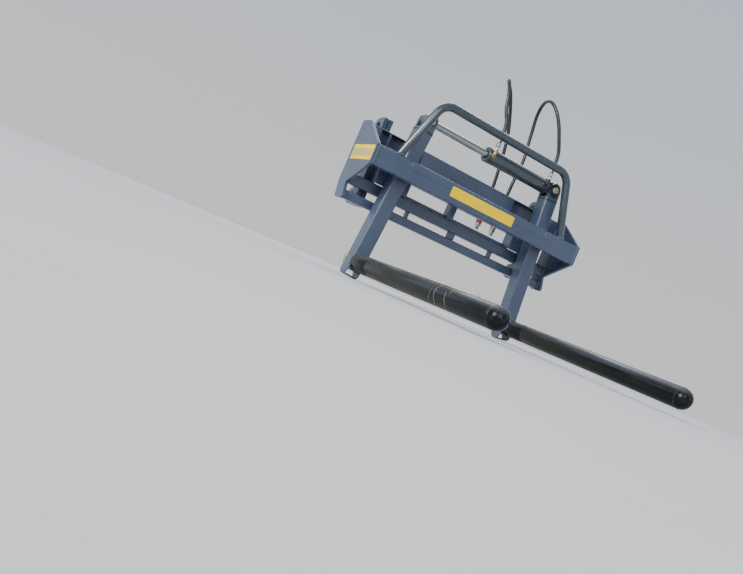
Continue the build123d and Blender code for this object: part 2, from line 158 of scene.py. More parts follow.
def place(tree, stretch=(1, 1, 1), shift=(0, 0, 0)):
    """The object's own coordinates, stretched and shifted."""
    coords = add(tree, "ShaderNodeTexCoord")
    return add(
        tree, "ShaderNodeMapping",
        {"Vector": coords.outputs["Object"], "Scale": stretch, "Location": shift},
    ).outputs[0]


def noise(tree, scale, detail=4.0, stretch=(1, 1, 1), shift=(0, 0, 0), rough=0.55):
    """Fractal noise in the object's own coordinates."""
    return add(
        tree, "ShaderNodeTexNoise",
        {"Vector": place(tree, stretch, shift), "Scale": scale, "Detail": detail, "Roughness": rough},
    ).outputs[0]


def calc(tree, operation, a, b=0.0):
    """The outcome of one sum on sockets or numbers."""
    return add(tree, "ShaderNodeMath", {0: a, 1: b}, operation=operation).outputs[0]


def times(tree, a, b):
    return calc(tree, "MULTIPLY", a, b)


def plus(tree, a, b):
    return calc(tree, "ADD", a, b)


def span(tree, value, low, high, to_low=0.0, to_high=1.0):
    """Maps a value from one range to another, clamped."""
    return add(
        tree, "ShaderNodeMapRange",
        {0: value, 1: low, 2: high, 3: to_low, 4: to_high},
    ).outputs[0]


def mix(tree, share, a, b):
    """Two colours blended by a share, each a socket or three numbers."""
    node = add(tree, "ShaderNodeMix", data_type="RGBA")
    for socket, value in ((node.inputs[0], share), (node.inputs[6], a), (node.inputs[7], b)):
        if isinstance(value, bpy.types.NodeSocket):
            tree.links.new(value, socket)
        elif isinstance(value, (int, float)):
            socket.default_value = value
        else:
            socket.default_value = (*value, 1)
    return node.outputs[2]


def edges(tree, radius):
    """How much a point lies on an edge: the bevelled normal against the surface's own."""
    bevel = add(tree, "ShaderNodeBevel", {"Radius": radius}, samples=6)
    surface = add(tree, "ShaderNodeNewGeometry")
    dot = add(
        tree, "ShaderNodeVectorMath",
        {0: bevel.outputs[0], 1: surface.outputs["Normal"]}, operation="DOT_PRODUCT",
    )
    return span(tree, dot.outputs["Value"], 0.995, 0.86)


def split(tree, vector):
    """The three parts of a vector, as outputs."""
    return add(tree, "ShaderNodeSeparateXYZ", {0: vector}).outputs


def facing_up(tree):
    """The surface's normal along z, from -1 below to 1 on top."""
    surface = add(tree, "ShaderNodeNewGeometry")
    return split(tree, surface.outputs["Normal"])[2]


def bump(tree, shader, height, strength, distance, before=None):
    """Raises the surface by a height, on top of an earlier bump if there is one."""
    inputs = {"Height": height, "Strength": strength, "Distance": distance}
    if before is not None:
        inputs["Normal"] = before
    node = add(tree, "ShaderNodeBump", inputs)
    tree.links.new(node.outputs[0], shader.inputs["Normal"])
    return node.outputs[0]


def connect(tree, shader, colour, rough):
    """Gives a shader its colour and its roughness."""
    tree.links.new(colour, shader.inputs["Base Color"])
    tree.links.new(rough, shader.inputs["Roughness"])


STEEL = (0.046, 0.070, 0.121)
STEEL_SHADE = (0.036, 0.056, 0.099)
STEEL_WORN = (0.17, 0.20, 0.24)
ARM_STEEL = (0.049, 0.072, 0.116)
DUST = (0.22, 0.225, 0.23)
PATCH_BLACK = (0.006, 0.007, 0.008)
# How far chips reach from an edge
PAINT_EDGE = 0.0025


def dark_patch(tree, spot):
    """How dark a point is made: a ragged near-black patch round a spot on a front face."""
    x, face, z = spot
    parts = split(tree, place(tree))
    across = calc(tree, "SUBTRACT", parts[0], x)
    above = calc(tree, "SUBTRACT", parts[2], z)
    far = calc(tree, "SQRT", plus(tree, times(tree, across, across), times(tree, above, above)))
    far = plus(tree, far, times(tree, noise(tree, 40.0, 5.0), 0.02))
    near = span(tree, far, 0.058, 0.044)
    on_face = span(tree, parts[1], face + 0.003, face + 0.001)
    return times(tree, times(tree, near, on_face), 0.85)


def paint(name, base, gloss, dusty, wear, shade=STEEL_SHADE, scuffs=0.0, coat=0.25, patch_at=None):
    """Glossy paint: drifting colour, chipped edges, dust on top, fine scuffs and orange peel."""
    material, tree, shader = new_material(name)
    drift = span(tree, noise(tree, 5.0, 5.0), 0.35, 0.68)
    colour = mix(tree, drift, base, shade)
    mottle = span(tree, noise(tree, 70.0, 6.0, shift=(3.1, 0.7, 1.9)), 0.3, 0.75, 0.0, 0.12)
    colour = mix(tree, mottle, colour, shade)
    up = span(tree, facing_up(tree), -0.1, 0.9, 0.25, 1.0)
    film = span(tree, noise(tree, 13.0, 8.0, shift=(0.4, 2.2, 5.1), rough=0.65), 0.45, 0.72)
    film = times(tree, times(tree, film, up), dusty)
    colour = mix(tree, film, colour, DUST)
    scratch = noise(tree, 22.0, 3.0, (9, 9, 0.5), (1.7, 0.2, 0.9), 0.8)
    scratch = times(tree, span(tree, scratch, 0.66, 0.72), scuffs)
    colour = mix(tree, scratch, colour, STEEL_WORN)
    chips = span(tree, noise(tree, 120.0, 5.0, shift=(5.0, 1.0, 2.0)), 0.42, 0.6)
    chipped = times(tree, times(tree, edges(tree, PAINT_EDGE), chips), wear)
    colour = mix(tree, chipped, colour, STEEL_WORN)
    # A near-black patch round a spot on the front face, where one is given
    if patch_at:
        colour = mix(tree, dark_patch(tree, patch_at), colour, PATCH_BLACK)
    marks = calc(tree, "MAXIMUM", chipped, scratch)
    rough = span(tree, noise(tree, 30.0, 5.0), 0.3, 0.7, gloss - 0.07, gloss + 0.1)
    rough = plus(tree, rough, times(tree, film, 0.5))
    rough = plus(tree, rough, times(tree, marks, 0.25))
    connect(tree, shader, colour, rough)
    shader.inputs["Coat Weight"].default_value = coat
    shader.inputs["Coat Roughness"].default_value = 0.22
    peel = noise(tree, 260.0, 2.0)
    first = bump(tree, shader, peel, 0.03, 0.0006)
    bump(tree, shader, marks, -0.2, 0.0003, first)
    return material


STAIN = (0.2, 0.13, 0.07)
RUBBED_METAL = (0.85, 0.85, 0.83)


def metal(name, base, tint, gloss, stained, metallic=1.0):
    """Bare or plated metal with fine lines, stains and rubbed edges."""
    material, tree, shader = new_material(name)
    colour = mix(tree, span(tree, noise(tree, 28.0, 5.0), 0.35, 0.7), base, tint)
    marks = noise(tree, 75.0, 8.0, shift=(2.0, 4.0, 1.0), rough=0.7)
    marks = span(tree, marks, 0.55, 0.72, 0.0, stained)
    colour = mix(tree, marks, colour, STAIN)
    rub = times(tree, edges(tree, 0.0012), 0.5)
    colour = mix(tree, rub, colour, RUBBED_METAL)
    shader.inputs["Metallic"].default_value = metallic
    lines = noise(tree, 160.0, 3.0, shift=(0.3, 0.8, 0.5))
    rough = span(tree, lines, 0.3, 0.7, gloss - 0.05, gloss + 0.12)
    connect(tree, shader, colour, plus(tree, rough, times(tree, marks, 0.5)))
    bump(tree, shader, lines, 0.1, 0.0003)
    return material


# Where the near-black patch lies: round the right clevis pin, on the right arm's front face
pin_low, pin_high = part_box("right_clevis_pin")
patch_spot = (
    (pin_low[0] + pin_high[0]) / 2, pin_low[1] + CLEVIS_PIN_PROUD, (pin_low[2] + pin_high[2]) / 2,
)
frame_paint = paint("frame_paint", STEEL, 0.27, 0.10, 0.32, scuffs=0.08)
arm_paint = paint("arm_paint", ARM_STEEL, 0.3, 0.12, 0.45, scuffs=0.14)
right_arm_paint = paint("right_arm_paint", ARM_STEEL, 0.3, 0.12, 0.45, scuffs=0.14, patch_at=patch_spot)
weld_paint = paint("weld_paint", (0.053, 0.076, 0.120), 0.34, 0.16, 0.2)
hoop_paint = paint("hoop_paint", (0.018, 0.034, 0.046), 0.2, 0.04, 0.3, (0.013, 0.025, 0.034), coat=0.9)
barrel_paint = paint(
    "barrel_paint", (0.016, 0.030, 0.042), 0.16, 0.03, 0.3, (0.011, 0.021, 0.030), coat=1.0,
)

TINE_BLACK = (0.0026, 0.0032, 0.0046)
TINE_SHEEN = (0.0050, 0.0060, 0.0078)
OLIVE_SMEAR = (0.022, 0.024, 0.010)
GREY_FILM = (0.17, 0.18, 0.19)
STRAW_DUST = (0.30, 0.29, 0.23)
# Colour of the painted streaks of highlight on the tines
STREAK_HIGHLIGHT = (0.050, 0.060, 0.080)
SCUFF_GREY = (0.085, 0.09, 0.095)
RUST_RED = (0.13, 0.062, 0.034)
RUST_BROWN = (0.11, 0.080, 0.06)


def tine_material(dome_from):
    """Dark paint rubbed by bales: smears, long scuffs, painted streaks of highlight, straw dust on top and
    rust by the left dome.
    """
    material, tree, shader = new_material("tine_paint")
    along = (1.0, 0.16, 1.0)
    drift = span(tree, noise(tree, 9.0, 5.0, along), 0.32, 0.7)
    colour = mix(tree, drift, TINE_BLACK, TINE_SHEEN)
    olive = span(tree, noise(tree, 11.0, 7.0, along, (2.0, 0.3, 4.0), 0.7), 0.5, 0.74, 0.0, 0.4)
    colour = mix(tree, olive, colour, OLIVE_SMEAR)
    film = span(tree, noise(tree, 6.0, 6.0, along, (5.0, 2.0, 1.0), 0.6), 0.25, 0.6, 0.12, 0.34)
    film = times(tree, film, span(tree, facing_up(tree), 0.35, 0.9))
    colour = mix(tree, film, colour, GREY_FILM)
    up = span(tree, facing_up(tree), 0.55, 0.98)
    straw = span(tree, noise(tree, 26.0, 9.0, (1.0, 0.35, 1.0), (4.4, 1.2, 0.3), 0.75), 0.5, 0.68)
    straw = times(tree, times(tree, straw, up), 0.32)
    colour = mix(tree, straw, colour, STRAW_DUST)
    # Painted highlight: long blue-grey streaks along the roller, stronger on top, stand in for reflections
    streak_highlights = noise(tree, 30.0, 3.0, (1.8, 0.05, 1.8), (0.6, 2.0, 3.0), 0.6)
    streak_highlights = span(tree, streak_highlights, 0.50, 0.64, 0.0, 0.55)
    streak_highlights = times(tree, streak_highlights, span(tree, facing_up(tree), -0.35, 0.6))
    colour = mix(tree, streak_highlights, colour, STREAK_HIGHLIGHT)
    lines = noise(tree, 34.0, 4.0, (5.0, 0.22, 5.0), (1.0, 1.0, 1.0), 0.85)
    lines = span(tree, lines, 0.66, 0.74, 0.0, 0.3)
    colour = mix(tree, lines, colour, SCUFF_GREY)
    parts = split(tree, place(tree))
    dome = span(tree, parts[1], dome_from + 0.002, dome_from - 0.004)
    ring = span(tree, parts[1], dome_from + 0.020, dome_from + 0.008)
    ring = times(tree, ring, calc(tree, "SUBTRACT", 1.0, dome))
    ring = times(tree, ring, span(tree, parts[0], 0.1, -0.1))
    ring = times(tree, ring, span(tree, facing_up(tree), -0.3, 0.5))
    rubbed = times(tree, span(tree, noise(tree, 45.0, 8.0, rough=0.7), 0.42, 0.56), ring)
    specks = span(tree, noise(tree, 70.0, 5.0, shift=(1.0, 2.0, 7.0), rough=0.6), 0.64, 0.69)
    specks = times(tree, times(tree, specks, dome), 0.35)
    rust = mix(tree, span(tree, noise(tree, 80.0, 4.0), 0.4, 0.6), RUST_RED, RUST_BROWN)
    colour = mix(tree, times(tree, calc(tree, "MAXIMUM", rubbed, specks), 0.6), colour, rust)
    chips = span(tree, noise(tree, 110.0, 5.0), 0.4, 0.58)
    chipped = times(tree, times(tree, edges(tree, PAINT_EDGE), chips), 0.7)
    colour = mix(tree, chipped, colour, STEEL_WORN)
    rough = span(tree, noise(tree, 24.0, 6.0, along), 0.3, 0.7, 0.22, 0.34)
    rough = plus(tree, rough, times(tree, calc(tree, "MAXIMUM", straw, olive), 0.4))
    rough = calc(tree, "SUBTRACT", rough, times(tree, dome, 0.1))
    connect(tree, shader, colour, rough)
    shader.inputs["Specular IOR Level"].default_value = 0.13
    first = bump(tree, shader, noise(tree, 220.0, 3.0), 0.12, 0.0006)
    second = bump(tree, shader, lines, -0.4, 0.0004, first)
    bump(tree, shader, noise(tree, 7.0, 2.0, along), 0.2, 0.003, second)
    return material


tine_paint = tine_material(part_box("left_roller")[0][1] + ROLLER_RADIUS)
zinc = metal("zinc", (0.74, 0.71, 0.54), (0.58, 0.55, 0.40), 0.32, stained=0.22, metallic=0.8)
dull_zinc = metal("dull_zinc", (0.50, 0.49, 0.40), (0.38, 0.36, 0.28), 0.36, stained=0.35, metallic=0.9)
bright_steel = metal("bright_steel", (0.60, 0.60, 0.59), (0.45, 0.45, 0.45), 0.24, stained=0.2)
brass = metal("brass", (0.62, 0.42, 0.15), (0.46, 0.29, 0.10), 0.28, stained=0.3)
black_steel = metal("black_steel", (0.06, 0.06, 0.062), (0.035, 0.035, 0.037), 0.35, stained=0.2)
copper = metal("copper", (0.48, 0.24, 0.10), (0.36, 0.16, 0.07), 0.35, stained=0.3)

CHROME = (0.40, 0.43, 0.42)
CHROME_SHADE = (0.34, 0.37, 0.36)
OILY_CHROME = (0.22, 0.23, 0.20)


def rod_material(eye_from):
    """Hard chrome, turning into the frame's paint where the eye begins."""
    material, tree, shader = new_material("rod_chrome")
    parts = split(tree, place(tree))
    eye = span(tree, parts[0], eye_from + 0.001, eye_from - 0.001)
    rings = noise(tree, 90.0, 3.0, (14.0, 0.6, 0.6))
    chrome = mix(tree, span(tree, rings, 0.3, 0.7), CHROME, CHROME_SHADE)
    smear = span(tree, noise(tree, 14.0, 6.0, (1.0, 2.0, 2.0)), 0.5, 0.7, 0.0, 0.3)
    chrome = mix(tree, smear, chrome, OILY_CHROME)
    coat = mix(tree, span(tree, noise(tree, 22.0, 5.0), 0.35, 0.7), STEEL, STEEL_SHADE)
    chips = span(tree, noise(tree, 110.0, 5.0), 0.4, 0.58)
    chipped = times(tree, edges(tree, PAINT_EDGE), chips)
    coat = mix(tree, chipped, coat, STEEL_WORN)
    colour = mix(tree, eye, chrome, coat)
    tree.links.new(span(tree, eye, 0.0, 1.0, 1.0, 0.0), shader.inputs["Metallic"])
    rough = plus(tree, span(tree, rings, 0.3, 0.7, 0.10, 0.14), times(tree, smear, 0.5))
    connect(tree, shader, colour, plus(tree, rough, times(tree, eye, 0.2)))
    bump(tree, shader, rings, 0.02, 0.0002)
    return material


def lighter(colour, factor, lift):
    """A colour made lighter, held to white."""
    return tuple(min(1.0, factor * v + lift) for v in colour)


def rubber(name, base, tint, gloss, ribs=0.0):
    """Rubber or moulded plastic with a fine grain and grey bloom, and ribs if asked."""
    material, tree, shader = new_material(name)
    colour = mix(tree, span(tree, noise(tree, 32.0, 6.0), 0.35, 0.68), base, tint)
    bloom = span(tree, noise(tree, 90.0, 6.0, shift=(2.0, 1.0, 3.0)), 0.52, 0.7, 0.0, 0.3)
    colour = mix(tree, bloom, colour, lighter(base, 2.2, 0.02))
    rub = times(tree, edges(tree, 0.001), 0.4)
    colour = mix(tree, rub, colour, lighter(base, 1.8, 0.03))
    rough = span(tree, noise(tree, 40.0, 5.0), 0.3, 0.7, gloss - 0.08, gloss + 0.12)
    connect(tree, shader, colour, rough)
    grain = noise(tree, 700.0, 2.0)
    first = bump(tree, shader, grain, 0.25, 0.0004)
    if ribs:
        wave = add(
            tree, "ShaderNodeTexWave",
            {"Vector": place(tree), "Scale": ribs, "Distortion": 0.4, "Detail": 1.0},
            wave_type="BANDS", bands_direction="Z",
        )
        bump(tree, shader, wave.outputs[1], 0.15, 0.0004, first)
    return material


hose_rubber = rubber("hose_rubber", (0.008, 0.010, 0.010), (0.014, 0.016, 0.016), 0.36, ribs=130.0)
seal_rubber = rubber("seal_rubber", (0.014, 0.014, 0.015), (0.024, 0.024, 0.024), 0.55)
red_plastic = rubber("red_plastic", (0.42, 0.020, 0.016), (0.30, 0.016, 0.014), 0.4)

GRIME = (0.20, 0.155, 0.05)
SCUFFED_VINYL = (0.80, 0.64, 0.18)


def vinyl(name, base, tint):
    """A blank coloured plate: sun-faded vinyl with grime, tiny scuffs and soft ripples."""
    material, tree, shader = new_material(name)
    colour = mix(tree, span(tree, noise(tree, 7.0, 4.0), 0.35, 0.7), base, tint)
    grime = noise(tree, 36.0, 9.0, shift=(1.0, 3.0, 2.0), rough=0.72)
    grime = span(tree, grime, 0.58, 0.78, 0.0, 0.3)
    colour = mix(tree, grime, colour, GRIME)
    fine = noise(tree, 60.0, 3.0, (1.0, 1.0, 7.0), (3.0, 3.0, 3.0), 0.8)
    fine = span(tree, fine, 0.67, 0.72, 0.0, 0.25)
    colour = mix(tree, fine, colour, SCUFFED_VINYL)
    rough = span(tree, noise(tree, 30.0, 4.0), 0.3, 0.7, 0.3, 0.42)
    connect(tree, shader, colour, plus(tree, rough, times(tree, grime, 0.5)))
    shader.inputs["Specular IOR Level"].default_value = 0.1
    first = bump(tree, shader, noise(tree, 16.0, 2.0), 0.25, 0.0012)
    bump(tree, shader, fine, -0.3, 0.0002, first)
    return material


yellow_vinyl = vinyl("yellow_vinyl", (0.84, 0.60, 0.0), (0.78, 0.53, 0.0))
# Pale vinyl painted as a glare highlight on the middle of the end blank
glare_vinyl = vinyl("glare_vinyl", (0.44, 0.37, 0.16), (0.36, 0.31, 0.14))
straw_material = rubber("straw", (0.27, 0.25, 0.12), (0.19, 0.19, 0.08), 0.55)
rod_chrome = rod_material(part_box("cylinder_rod")[0][0] + ROD_EYE_LENGTH)

for name, thing in nodes.items():
    if name == "cylinder_rod":
        chosen = rod_chrome
    elif name in ("cylinder_barrel", "cylinder_gland"):
        chosen = barrel_paint
    elif "clevis_pin" in name:
        chosen = zinc
    elif "roller" in name or name.endswith("spindle"):
        chosen = tine_paint
    elif name == "right_arm":
        chosen = right_arm_paint
    elif name == "left_arm":
        chosen = arm_paint
    elif name == "hoop_guard":
        chosen = hoop_paint
    elif name.endswith(("fitting", "coupler", "nut")):
        chosen = bright_steel
    elif name.endswith("hose"):
        chosen = hose_rubber
    else:
        chosen = frame_paint
    thing.data.materials.clear()
    thing.data.materials.append(chosen)


# Mesh helpers
def finish_mesh(name, form, material, body, angle=35.0):
    """Turns a bmesh into a piece on a body with its material, with sharp edges kept sharp."""
    bmesh.ops.remove_doubles(form, verts=form.verts, dist=1e-6)
    bmesh.ops.recalc_face_normals(form, faces=form.faces)
    for face in form.faces:
        face.smooth = True
    for edge in form.edges:
        if len(edge.link_faces) == 2 and edge.calc_face_angle(0.0) > math.radians(angle):
            edge.smooth = False
    mesh = bpy.data.meshes.new(name)
    form.to_mesh(mesh)
    form.free()
    piece = bpy.data.objects.new(name, mesh)
    scene.collection.objects.link(piece)
    mesh.materials.append(material)
    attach(piece, body)
    return piece


def basis(direction):
    """Two unit vectors across a direction."""
    direction = Vector(direction).normalized()
    helper = Vector(UP) if abs(direction.z) < 0.9 else Vector(RIGHT)
    side = direction.cross(helper).normalized()
    return side, direction.cross(side).normalized()


def turned(form, origin, direction, profile, steps=40, hexes=(), hollow=False):
    """A turned part from rows of distance and radius; hexes makes rows hexagonal, hollow makes a ring."""
    origin = Vector(origin)
    direction = Vector(direction).normalized()
    side, other = basis(direction)
    rings = []
    for row, (along, radius) in enumerate(profile):
        ring = []
        for step in range(steps):
            angle = 2 * math.pi * step / steps
            reach = radius
            if row in hexes:
                turn = (angle + math.pi / 6) % (math.pi / 3) - math.pi / 6
                reach = min(radius, hexes[row] / 2 / math.cos(turn))
            out = side * (reach * math.cos(angle))
            ring.append(form.verts.new(origin + direction * along + out + other * (reach * math.sin(angle))))
        rings.append(ring)
    pairs = list(zip(rings, rings[1:]))
    if hollow:
        pairs.append((rings[-1], rings[0]))
    for a, b in pairs:
        for step in range(steps):
            after = (step + 1) % steps
            form.faces.new((a[step], a[after], b[after], b[step]))
    if not hollow:
        form.faces.new(list(reversed(rings[0])))
        form.faces.new(rings[-1])


def nut(form, origin, direction, across, height, bore=0.0, steps=48):
    """A hexagonal nut with its corners turned off at both ends."""
    half = across / 2
    face = half * 0.97
    corner = half / math.cos(math.pi / 6)
    rise = (corner - half) * 0.9 * 0.55
    rows = [(0, face), (0, half), (rise, corner), (height - rise, corner), (height, half), (height, face)]
    hexes = dict.fromkeys((1, 2, 3, 4), across)
    if bore:
        rows += [(height, bore), (height - 0.0005, bore), (0, bore)]
    turned(form, origin, direction, rows, steps, hexes, hollow=bool(bore))


def ring_piece(name, origin, direction, rows, steps, material, body):
    """One ring turned round an axis, as a piece of its own."""
    form = bmesh.new()
    turned(form, origin, direction, rows, steps, hollow=True)
    return finish_mesh(name, form, material, body)


def sweep(form, points, radius, sides, closed=False, ripple=None):
    """A tube along points; ripple gives each ring's own factor."""
    count = len(points)
    rings = []
    frame_side = None
    for index, point in enumerate(points):
        before = points[index - 1] if index or closed else points[0]
        after = points[(index + 1) % count] if index < count - 1 or closed else points[-1]
        along = (after - before).normalized()
        if frame_side is None:
            frame_side = basis(along)[0]
        frame_side = (frame_side - along * frame_side.dot(along)).normalized()
        other = along.cross(frame_side)
        size = radius * (ripple[index] if ripple else 1.0)
        ring = []
        for k in range(sides):
            angle = 2 * math.pi * k / sides
            out = frame_side * (size * math.cos(angle))
            ring.append(form.verts.new(point + out + other * (size * math.sin(angle))))
        rings.append(ring)
    for index in range(count if closed else count - 1):
        a, b = rings[index], rings[(index + 1) % count]
        shift = 0
        if closed and index == count - 1:
            shift = min(range(sides), key=lambda k: (a[0].co - b[k].co).length)
        for k in range(sides):
            form.faces.new((a[k], a[(k + 1) % sides], b[(k + 1 + shift) % sides], b[(k + shift) % sides]))
    if not closed:
        form.faces.new(list(reversed(rings[0])))
        form.faces.new(rings[-1])


BEAD = 0.0035
SMALL_BEAD = 0.003
BEAD_STEP = 0.0016
# How far a bead's line is set off the face that it runs on
OFF_FACE = 0.0005


def bead(form, corners, radius=BEAD, closed=False):
    """A weld bead: a rippled half-buried tube along straight runs between corners."""
    corners = [Vector(c) for c in corners]
    runs = list(zip(corners, corners[1:]))
    if closed:
        runs.append((corners[-1], corners[0]))
    points = []
    for a, b in runs:
        count = max(2, round((b - a).length / BEAD_STEP))
        points += [a.lerp(b, k / count) for k in range(count)]
    if not closed:
        points.append(corners[-1])
    phase = dice.random() * 6
    ripple = []
    drift = 0.0
    for index in range(len(points)):
        drift = 0.9 * drift + dice.uniform(-0.03, 0.03)
        ripple.append(0.95 + 0.11 * math.sin(phase + index * 2 * math.pi / 3.2) + drift)
    if not closed:
        for k in range(3):
            ripple[k] *= 0.5 + 0.2 * k
            ripple[-1 - k] *= 0.5 + 0.2 * k
    sweep(form, points, radius, 6, closed, ripple)


def arc(centre, across, up, radius, start, end, steps=24):
    """Points on an arc in the plane of two unit vectors, angles in degrees."""
    centre, across, up = Vector(centre), Vector(across), Vector(up)
    points = []
    for k in range(steps + 1):
        angle = math.radians(start + (end - start) * k / steps)
        points.append(centre + across * (radius * math.cos(angle)) + up * (radius * math.sin(angle)))
    return points


def corner_centres(low, high, corner):
    """The centres of a rounded rectangle's corners, each with the angle at which its arc starts."""
    return (
        (high[0] - corner, high[1] - corner, 0), (low[0] + corner, high[1] - corner, 90),
        (low[0] + corner, low[1] + corner, 180), (high[0] - corner, low[1] + corner, 270),
    )


def loop_yz(x, low, high, corner):
    """A rounded rectangle in the plane of y and z."""
    points = []
    for y, z, start in corner_centres(low, high, corner):
        points += arc((x, y, z), BACK, UP, corner, start, start + 90, 5)
    return points


def loop_xy(z, low, high, corner):
    """A rounded rectangle in the plane of x and y."""
    points = []
    for x, y, start in corner_centres(low, high, corner):
        points += arc((x, y, z), RIGHT, BACK, corner, start, start + 90, 5)
    return points


# Places from the frame
def box_of(node):
    """The low and the high corner of a node's box."""
    low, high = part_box(node)
    return Vector(low), Vector(high)


beam_low, beam_high = box_of("front_beam")
end_low = box_of("left_end_plate")[0]
top_low, top_high = box_of("top_rail")
upper_low, upper_high = box_of("upper_rail")
lower_low, lower_high = box_of("lower_rail")
gland_low, gland_high = box_of("cylinder_gland")
beam_top = beam_high.z
beam_front = beam_low.y
rail_top = beam_low.z - UPPER_RAIL_DROP
rail_front, rail_back = upper_low.y, upper_high.y

pivot_low, pivot_high = box_of("right_pivot_pin")
PIVOT_X = (pivot_low.x + pivot_high.x) / 2
PIVOT_Z = (pivot_low.z + pivot_high.z) / 2
clevis_low, clevis_high = box_of("right_clevis_pin")
ARM_Y = (clevis_low.y + clevis_high.y) / 2
TOWER_X = (clevis_low.x + clevis_high.x) / 2
TOWER_Z = (clevis_low.z + clevis_high.z) / 2
arm_front, arm_back = ARM_Y - ARM_HALF, ARM_Y + ARM_HALF
ARM_FACES = ((arm_front, -1), (arm_back, 1))
BARREL_END_X = TOWER_X - EAR_RADIUS - BARREL_GAP


def arm_frame(sign):
    """Pivot, across and up of the arm on one side."""
    pivot = Vector((sign * PIVOT_X, 0, PIVOT_Z))
    across = Vector((math.cos(SPLAY), 0, sign * math.sin(SPLAY)))
    up = Vector((-sign * math.sin(SPLAY), 0, math.cos(SPLAY)))
    return pivot, across, up


def on_arm(arm, a, y, b):
    """A point of an arm: a across and b up from its pivot, in row y."""
    pivot, across, up = arm
    return pivot + across * a + up * b + Vector((0, y, 0))


# Hoses, their fittings and couplers
GLAND_PORT_X = gland_low.x + GLAND_PORT_FROM_FACE
BASE_PORT_X = BARREL_END_X - BASE_PORT_FROM_END
FERRULE_Y = ARM_Y - ELBOW_REACH
FERRULE_TOP = TOWER_Z + FERRULE_HEIGHT
# Control points from the ferrule's top, in millimetres
GLAND_ROUTE = (
    (0, 0, 0), (0, 0, 66), (-29, 21, 128), (-35, 35, 201), (-37, 72, 267), (-21, 125, 309), (12, 177, 315),
    (65, 208, 288), (111, 226, 225), (150, 233, 148), (177, 235, 70), (196, 239, -21), (208, 241, -106),
    (217, 241, -191), (221, 240, -274), (221, 240, -352),
)
BASE_ROUTE = (
    (0, 0, 0), (0, 0, 62), (-33, 7, 135), (-61, 14, 199), (-93, 36, 265), (-109, 80, 310), (-102, 142, 330),
    (-86, 200, 315), (-67, 240, 263), (-48, 250, 179), (-38, 248, 93), (-30, 240, 10), (-37, 241, -78),
    (-40, 241, -166), (-42, 241, -252), (-42, 241, -352),
)
# Rows of turned parts: distance along the axis, radius
COUPLER_ROWS = (
    (0.015, 0.0128), (0.0175, 0.0128), (0.0185, 0.0150), (0.0210, 0.0160), (0.0330, 0.0160),
    (0.0338, 0.0150), (0.0352, 0.0150), (0.0360, 0.0160), (0.0560, 0.0160), (0.0570, 0.0152),
    (0.0590, 0.0152), (0.0600, 0.0160), (0.0680, 0.0160), (0.0700, 0.0142), (0.0705, 0.0120),
    (0.0790, 0.0120), (0.0800, 0.0108), (0.0830, 0.0108), (0.0840, 0.0120), (0.0890, 0.0120),
    (0.0916, 0.0098), (0.0920, 0.0060), (0.0905, 0.0040),
)
FERRULE_START = [(0.0115, 0.0070), (0.0220, 0.0070), (0.0222, 0.0102), (0.0232, 0.0110)]
FERRULE_END = [(0.0838, 0.0110), (0.0848, 0.0104), (0.0850, 0.0096)]
CRIMP_FROM = 0.0300
CRIMP_PITCH = 0.0078
ELBOW_TUBE_RADIUS = 0.0088


def hose(name, start, route):
    """A hose as a smooth NURBS curve through its route's control points."""
    curve = bpy.data.curves.new(name, "CURVE")
    curve.dimensions = "3D"
    curve.bevel_depth = HOSE_RADIUS
    curve.bevel_resolution = 6
    curve.use_fill_caps = True
    spline = curve.splines.new("NURBS")
    spline.points.add(len(route) - 1)
    for point, offset in zip(spline.points, route):
        point.co = (*(start + Vector(offset) / 1000), 1)
    spline.order_u = 3
    spline.use_endpoint_u = True
    spline.resolution_u = 14
    piece = bpy.data.objects.new(name, curve)
    scene.collection.objects.link(piece)
    curve.materials.append(hose_rubber)
    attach(piece, "cylinder_barrel")
    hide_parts(name.replace("_line", "_hose"))
    return piece


def coupler(name, end, node):
    """A quick coupler's male half: hexagon, grooved body and nose."""
    form = bmesh.new()
    nut(form, end, DOWN, COUPLER_ACROSS, COUPLER_HEX)
    turned(form, end, DOWN, COUPLER_ROWS)
    piece = finish_mesh(name, form, bright_steel, BARREL)
    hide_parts(node)
    return piece


def fitting(name, port_x, elbow_material, node):
    """An elbow in a front port, with the hose's nut and its crimped ferrule."""
    form = bmesh.new()
    port_y = ARM_Y - BARREL_RADIUS - PORT_PROUD
    nut(form, (port_x, port_y, TOWER_Z), FRONT, COLLAR_ACROSS, COLLAR_THICK)
    bend = ELBOW_TUBE_RADIUS
    centre = Vector((port_x, FERRULE_Y + bend, TOWER_Z + bend))
    low = Vector((port_x, FERRULE_Y, TOWER_Z + ELBOW_RISE))
    points = [Vector((port_x, port_y + 0.001, TOWER_Z))]
    for k in range(9):
        angle = math.radians(90 * k / 8)
        points.append(centre + Vector((0, -bend * math.sin(angle), -bend * math.cos(angle))))
    points.append(low)
    sweep(form, points, ELBOW_TUBE_RADIUS, 20)
    finish_mesh(name + "_elbow", form, elbow_material, BARREL)
    form = bmesh.new()
    nut(form, low, UP, HOSE_NUT_ACROSS, HOSE_NUT_HEIGHT)
    finish_mesh(name + "_nut", form, elbow_material, BARREL)
    form = bmesh.new()
    rows = list(FERRULE_START)
    for k in range(6):
        start = CRIMP_FROM + CRIMP_PITCH * k
        rows += [
            (start, 0.0110), (start + 0.0009, 0.0102), (start + 0.0026, 0.0102), (start + 0.0035, 0.0110),
        ]
    turned(form, low, UP, rows + FERRULE_END, 48)
    ferrule = finish_mesh(name + "_ferrule", form, bright_steel, BARREL)
    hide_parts(node)
    form = bmesh.new()
    for along in (0.0255, 0.0790):
        turned(form, low, UP, [
            (along, 0.0105), (along, 0.0112), (along + 0.0006, 0.0116), (along + 0.0034, 0.0116),
            (along + 0.0040, 0.0112), (along + 0.0040, 0.0105),
        ], 40, hollow=True)
    finish_mesh(name + "_rings", form, seal_rubber, BARREL)


fitting("gland", GLAND_PORT_X, brass, "gland_fitting")
fitting("base", BASE_PORT_X, black_steel, "base_fitting")

